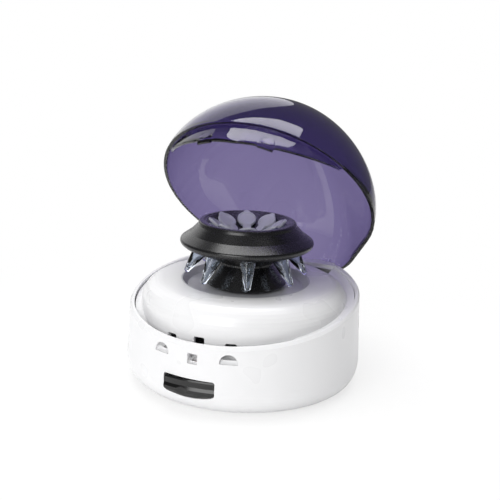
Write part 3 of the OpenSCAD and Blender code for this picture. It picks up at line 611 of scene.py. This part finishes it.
def half_moon_catch(side):
    """Half-moon that stands proud of a latch tab, on the shut lid."""
    s = sizes()
    w, h = s.catch_width, s.catch_height
    r = (w * w / 4 + h * h) / (2 * h)
    half = math.asin(w / 2 / r)
    steps = 20
    turns = [-half + 2 * half * i / steps for i in range(steps + 1)]
    outline = [(r * math.sin(a), h - r + r * math.cos(a)) for a in turns]
    outline += [(w / 2 * (1 - 2 * (i / 8)), 0) for i in range(1, 8)]
    middle = Vector((0, h * 0.45))
    bm = bmesh.new()

    def ring(shrink, proud):
        points = []
        for x, z in outline:
            q = Vector((x, z)).lerp(middle, shrink)
            height = s.catch_z + q.y
            reach = skirt_radii(height)[0] + proud
            bearing = side * s.tab_angle + q.x / s.skirt_radius
            place = (reach * math.sin(bearing), -reach * math.cos(bearing), height)
            points.append(bm.verts.new(place))
        return points

    edge = 0.15 * MM
    rings = [ring(0, -edge), ring(0, s.catch_proud - edge), ring(0.07, s.catch_proud)]
    rings.append(ring(0.5, s.catch_proud))
    join_rings(bm, rings)
    bm.faces.new(rings[0])
    bm.faces.new(rings[-1])
    bmesh.ops.recalc_face_normals(bm, faces=bm.faces)
    return bm


class MESH_OT_centrifuge_dome(bpy.types.Operator):
    """Smooth tinted dome with its skirt, latch tabs and half-moon catches"""

    bl_idname = "centrifuge.dome"
    bl_label = "Dome lid"

    def execute(self, context):
        material = tinted_polycarbonate()
        bm = dome_shell()
        bm.transform(opening_matrix())
        dome = piece_from("dome", bm, material, "lid", ("lid_dome",))
        shade_by_angle(dome, 35)
        for name, side in (("catch_left", -1), ("catch_right", 1)):
            bm = half_moon_catch(side)
            bm.transform(opening_matrix())
            shade_by_angle(piece_from(name, bm, material, "lid"), 35)
        return {"FINISHED"}


TUBE_COUNT = 8


def tube_matrix(number):
    """Takes a tube drawn upright, its lip at Z 0, to its place in the rotor."""
    t = tube_sizes()
    around = Matrix.Rotation(t.turn + number * FULL_TURN / TUBE_COUNT, 4, "Z")
    seat = Matrix.Translation((0, -t.seat_radius, t.seat_z))
    return around @ seat @ Matrix.Rotation(-t.lean, 4, "X")


def tube_body(number):
    """A body's name for a tube: one tube lifts out, the others turn with the rotor."""
    for name, nodes in frame["record"]["behaviour"]["bodies"].items():
        if "tube_%d" % number in nodes:
            return name
    raise RuntimeError("tube %d has no body" % number)


def tube_profile():
    """Section of a tube's wall: down the outside, round the tip and up the bore."""
    t = tube_sizes()
    tip_z, bend_z = -t.length, -t.length + t.taper
    step_z = tip_z + t.step
    lean_in = math.atan2(t.radius - t.tip, t.taper - t.tip)
    outside = [
        (t.cap_radius, t.lip), (t.cap_radius, 0), (t.radius, 0), (t.radius, bend_z + 0.4 * MM),
    ]
    turns = [math.pi / 2 * k / 6 - lean_in * (1 - k / 6) for k in range(7)]
    ball = [(t.tip * math.cos(a), tip_z + t.tip - t.tip * math.sin(a)) for a in turns]
    outside += ball[:-1] + [(0, tip_z)]

    def outside_radius(z):
        return t.tip + (t.radius - t.tip) * (z - tip_z - t.tip) / (t.taper - t.tip)

    thin, thick = t.wall, t.wall + 0.45 * MM
    bore = [
        (0, tip_z + thick),
        (max(0.3 * MM, t.tip - thick), tip_z + thick + 0.5 * MM),
        (outside_radius(step_z) - thick, step_z - 0.2 * MM),
        (outside_radius(step_z) - thin, step_z + 0.2 * MM),
        (t.radius - thin, bend_z),
        (t.radius - thin, t.lip),
    ]
    return outside + bore


class MESH_OT_centrifuge_tubes(bpy.types.Operator):
    """Clear microtubes with a thick tapered end and a stepped bore"""

    bl_idname = "centrifuge.tubes"
    bl_label = "Microtubes"

    def execute(self, context):
        material = clear_polypropylene("clear_polypropylene", colours().tube, 0.05)
        for number in range(1, TUBE_COUNT + 1):
            bm = lathe(tube_profile(), TURN_STEPS)
            bm.transform(tube_matrix(number))
            node = "tube_%d" % number
            name = "microtube_%d" % number
            tube = piece_from(name, bm, material, tube_body(number), (node,))
            shade_by_angle(tube, 50)
        return {"FINISHED"}


def cap_parts():
    """Cap drawn upright over its tube: disc with a sunk middle, plug, thumb tab and strap."""
    t = tube_sizes()
    base, top = t.lip, t.lip + t.cap_height
    r, plug = t.cap_radius, t.radius - t.wall - 0.05 * MM
    disc = lathe([
        (0, base - 3 * MM), (plug - 0.3 * MM, base - 3 * MM), (plug, base - 2.7 * MM),
        (plug, base), (r - 0.2 * MM, base), (r, base + 0.2 * MM), (r, top - 0.6 * MM),
        (r - 0.25 * MM, top - 0.15 * MM), (r - 0.6 * MM, top), (r - 1.3 * MM, top),
        (r - 1.6 * MM, top - 0.35 * MM), (0, top - 0.35 * MM),
    ], TURN_STEPS)
    tab = plate(round_end(5.4 * MM, r + t.thumb_tab, 3 * MM), top - 1.4 * MM, top - 0.2 * MM, 0.2 * MM)
    strap = plate(round_end(5 * MM, r + 1.4 * MM, 3 * MM), base, base + 1.4 * MM, 0.25 * MM)
    strap.transform(Matrix.Rotation(math.pi, 4, "Z"))
    return [disc, tab, strap]


class MESH_OT_centrifuge_caps(bpy.types.Operator):
    """Frosted caps with thumb tabs and straps"""

    bl_idname = "centrifuge.caps"
    bl_label = "Tube caps"

    def execute(self, context):
        material = frosted_polypropylene("frosted_polypropylene", colours().cap, 0.45)
        for number in range(1, TUBE_COUNT + 1):
            bm = merge(cap_parts())
            bm.transform(tube_matrix(number))
            node = "tube_cap_%d" % number
            name = "cap_%d" % number
            cap = piece_from(name, bm, material, tube_body(number), (node,))
            shade_by_angle(cap, 35)
        return {"FINISHED"}


class MESH_OT_centrifuge_finishes(bpy.types.Operator):
    """Materials of the pieces that keep their CAD shape"""

    bl_idname = "centrifuge.finishes"
    bl_label = "Finishes"

    def execute(self, context):
        c = colours()
        housing = moulded_abs("moulded_white_abs", c.housing)
        for node in ("base_shell", "top_cover", "hinge_yoke"):
            dress(node, housing)
        dress("bottom_plate", satin_plastic("satin_grey_abs", "#B9BABC", "#C6C7C9", 0.5, 0.6))
        dress("bowl_liner", satin_plastic("satin_bowl_abs", "#BEBEC3", "#C8C8CD", 0.36, 1.5))
        rotor = satin_plastic("glass_filled_nylon", "#0A0A0C", "#111114", 0.27, 0.7)
        for node in ("rotor", "rotor_nut"):
            dress(node, rotor)
        rubber = satin_plastic("moulded_rubber", "#101010", "#191919", 0.75, 0.5)
        for node in ("rubber_feet", "rubber_mounts", "friction_washers"):
            dress(node, rubber)
        steel = turned_metal("zinc_plated_steel", "#C9CACD", 0.3)
        for node in ("bottom_screws", "hinge_pin", "motor_plate", "mount_screws",
                     "motor_screws", "rocker_pin", "yoke_screws", "motor_shaft", "motor_can"):
            dress(node, steel)
        dress("inlet_pin", turned_metal("turned_brass", "#D9B36A", 0.3))
        dress("control_board", satin_plastic("solder_mask", "#0F3B22", "#16502F", 0.4, 1.5))
        black = satin_plastic("black_polyamide", "#0B0B0C", "#121213", 0.45, 0.5)
        for node in ("switch_body", "lid_switch", "power_inlet"):
            dress(node, black)
        dress("power_rocker", moulded_abs("polished_black_abs", "#0A0A0B", 0.16))
        dress("lid_switch_plunger", moulded_abs("red_acetal", "#8E2A20", 0.35))
        return {"FINISHED"}


# Camera, found from features of the object: azimuth, elevation and roll in degrees, focal
# length and shift in pixels of a picture 500 pixels wide
CAMERA_TURNS = (23.22, 17.15, 2.12)
CAMERA_DISTANCE = 0.59683
CAMERA_TARGET = Vector((0, 0, 0.06))
CAMERA_FOCAL = 913.34
CAMERA_SHIFT = (4.66, 35.88)
CAMERA_SENSOR = 36.0
PICTURE_SIDE = 500
# What every lamp is turned to
LAMP_TARGET = Vector((0, 0, 0.08))


class MESH_OT_centrifuge_stage(bpy.types.Operator):
    """Pale floor, soft lamps, world and camera"""

    bl_idname = "centrifuge.stage"
    bl_label = "Stage"

    def execute(self, context):
        scene = context.scene
        scene.view_settings.view_transform = "Standard"
        self.add_floor(scene)
        self.add_world(scene)
        self.add_lamps(scene)
        self.add_camera(scene)
        return {"FINISHED"}

    def add_floor(self, scene):
        # A matt white board. The camera sees it white further off, and close to the
        # object it sees the board with the object's soft shadow.
        material, tree, shader = new_material("white_floor_board")
        shader.inputs["Base Color"].default_value = linear(colours().floor)
        shader.inputs["Roughness"].default_value = 0.7
        shader.inputs["Specular IOR Level"].default_value = 0.2
        rays = add_node(tree, "ShaderNodeLightPath")
        seen = add_node(tree, "ShaderNodeMath", {"operation": "MAXIMUM"}, links=[
            (rays, "Is Camera Ray", 0), (rays, "Is Transmission Ray", 1)])
        place = add_node(tree, "ShaderNodeTexCoord")
        reach = add_node(tree, "ShaderNodeVectorMath", {"operation": "LENGTH"},
                         links=[(place, "Object", 0)])
        away = add_node(tree, "ShaderNodeMapRange", {"interpolation_type": "SMOOTHSTEP"},
                        inputs={"From Min": 0.1, "From Max": 0.3, "To Min": 0.7, "To Max": 1.0},
                        links=[(reach, "Value", "Value")])
        amount = add_node(tree, "ShaderNodeMath", {"operation": "MULTIPLY"},
                          links=[(seen, "Value", 0), (away, "Result", 1)])
        glow = add_node(tree, "ShaderNodeEmission", inputs={"Color": (1, 1, 1, 1), "Strength": 1.0})
        mix = add_node(tree, "ShaderNodeMixShader", links=[
            (amount, "Value", 0), (shader, "BSDF", 1), (glow, "Emission", 2)])
        tree.links.new(mix.outputs["Shader"], tree.nodes["Material Output"].inputs["Surface"])
        bm = bmesh.new()
        bmesh.ops.create_grid(bm, x_segments=2, y_segments=2, size=3.0)
        mesh = bpy.data.meshes.new("floor")
        bm.to_mesh(mesh)
        bm.free()
        floor = bpy.data.objects.new("floor", mesh)
        mesh.materials.append(material)
        scene.collection.objects.link(floor)

    def add_world(self, scene):
        # White where the camera looks and through glass, a dim studio in gloss, and a
        # plain fill for everything else.
        world = bpy.data.worlds.new("studio_world")
        scene.world = world
        world.use_nodes = True
        tree = world.node_tree
        tree.nodes.clear()
        rays = add_node(tree, "ShaderNodeLightPath")
        seen = add_node(tree, "ShaderNodeMath", {"operation": "MAXIMUM"}, links=[
            (rays, "Is Camera Ray", 0), (rays, "Is Transmission Ray", 1)])
        gloss = add_node(tree, "ShaderNodeMapRange", inputs={"To Min": 0.36, "To Max": 0.15},
                         links=[(rays, "Is Glossy Ray", "Value")])
        strength = add_node(tree, "ShaderNodeMath", {"operation": "MAXIMUM"},
                            links=[(gloss, "Result", 0), (seen, "Value", 1)])
        sky = add_node(tree, "ShaderNodeBackground", inputs={"Color": (1, 1, 1, 1)},
                       links=[(strength, "Value", "Strength")])
        add_node(tree, "ShaderNodeOutputWorld", links=[(sky, "Background", "Surface")])

    def add_lamps(self, scene):
        for name, place, shape, size, watts in (
            ("key_softbox", (-0.05, -0.95, 0.42), "RECTANGLE", (0.6, 0.6), 5.2),
            ("top_softbox", (-0.04, 0.1, 0.95), "RECTANGLE", (0.8, 0.36), 5.4),
            ("back_wall", (-0.68, 0.7, 0.6), "ELLIPSE", (1.2, 1.1), 3.6),
        ):
            light = bpy.data.lights.new(name, "AREA")
            light.shape = shape
            light.size, light.size_y = size
            light.energy = watts
            lamp = bpy.data.objects.new(name, light)
            lamp.location = place
            aim = LAMP_TARGET - Vector(place)
            lamp.rotation_euler = aim.to_track_quat("-Z", "Y").to_euler()
            scene.collection.objects.link(lamp)

    def add_camera(self, scene):
        azimuth, elevation, roll = (math.radians(a) for a in CAMERA_TURNS)
        back = Vector((
            math.sin(azimuth) * math.cos(elevation),
            -math.cos(azimuth) * math.cos(elevation),
            math.sin(elevation),
        ))
        right = Vector((math.cos(azimuth), math.sin(azimuth), 0))
        up = back.cross(right)
        right, up = (
            math.cos(roll) * right + math.sin(roll) * up,
            -math.sin(roll) * right + math.cos(roll) * up,
        )
        data = bpy.data.cameras.new("camera")
        data.sensor_width = CAMERA_SENSOR
        data.lens = CAMERA_FOCAL * CAMERA_SENSOR / PICTURE_SIDE
        data.shift_x, data.shift_y = (shift / PICTURE_SIDE for shift in CAMERA_SHIFT)
        data.clip_start = 0.01
        camera = bpy.data.objects.new("camera", data)
        camera.matrix_world = Matrix((
            (right.x, up.x, back.x, 0), (right.y, up.y, back.y, 0),
            (right.z, up.z, back.z, 0), (0, 0, 0, 1),
        ))
        camera.location = CAMERA_TARGET + back * CAMERA_DISTANCE
        scene.collection.objects.link(camera)
        scene.camera = camera


class VIEW3D_PT_centrifuge(bpy.types.Panel):
    """Lists the pieces and their settings"""

    bl_label = "Mini centrifuge"
    bl_idname = "VIEW3D_PT_centrifuge"
    bl_space_type = "VIEW_3D"
    bl_region_type = "UI"
    bl_category = "Centrifuge"

    def draw(self, context):
        layout = self.layout
        for group in (sizes(), tube_sizes(), colours()):
            for name in group.bl_rna.properties.keys():
                if name not in ("rna_type", "name"):
                    layout.prop(group, name)
        for operator in OPERATORS:
            layout.operator(operator.bl_idname)


OPERATORS = (
    MESH_OT_centrifuge_stage,
    MESH_OT_centrifuge_finishes,
    MESH_OT_centrifuge_dome,
    MESH_OT_centrifuge_tubes,
    MESH_OT_centrifuge_caps,
)
CLASSES = (LidSizes, TubeSizes, FinishColours) + OPERATORS + (VIEW3D_PT_centrifuge,)


def register():
    for cls in CLASSES:
        bpy.utils.register_class(cls)
    bpy.types.Scene.centrifuge_lid = bpy.props.PointerProperty(type=LidSizes)
    bpy.types.Scene.centrifuge_tubes = bpy.props.PointerProperty(type=TubeSizes)
    bpy.types.Scene.centrifuge_colours = bpy.props.PointerProperty(type=FinishColours)


def unregister():
    del bpy.types.Scene.centrifuge_colours
    del bpy.types.Scene.centrifuge_tubes
    del bpy.types.Scene.centrifuge_lid
    for cls in reversed(CLASSES):
        bpy.utils.unregister_class(cls)


def main():
    register()
    for operator in OPERATORS:
        group, name = operator.bl_idname.split(".")
        getattr(getattr(bpy.ops, group), name)()


if __name__ == "__main__":
    main()
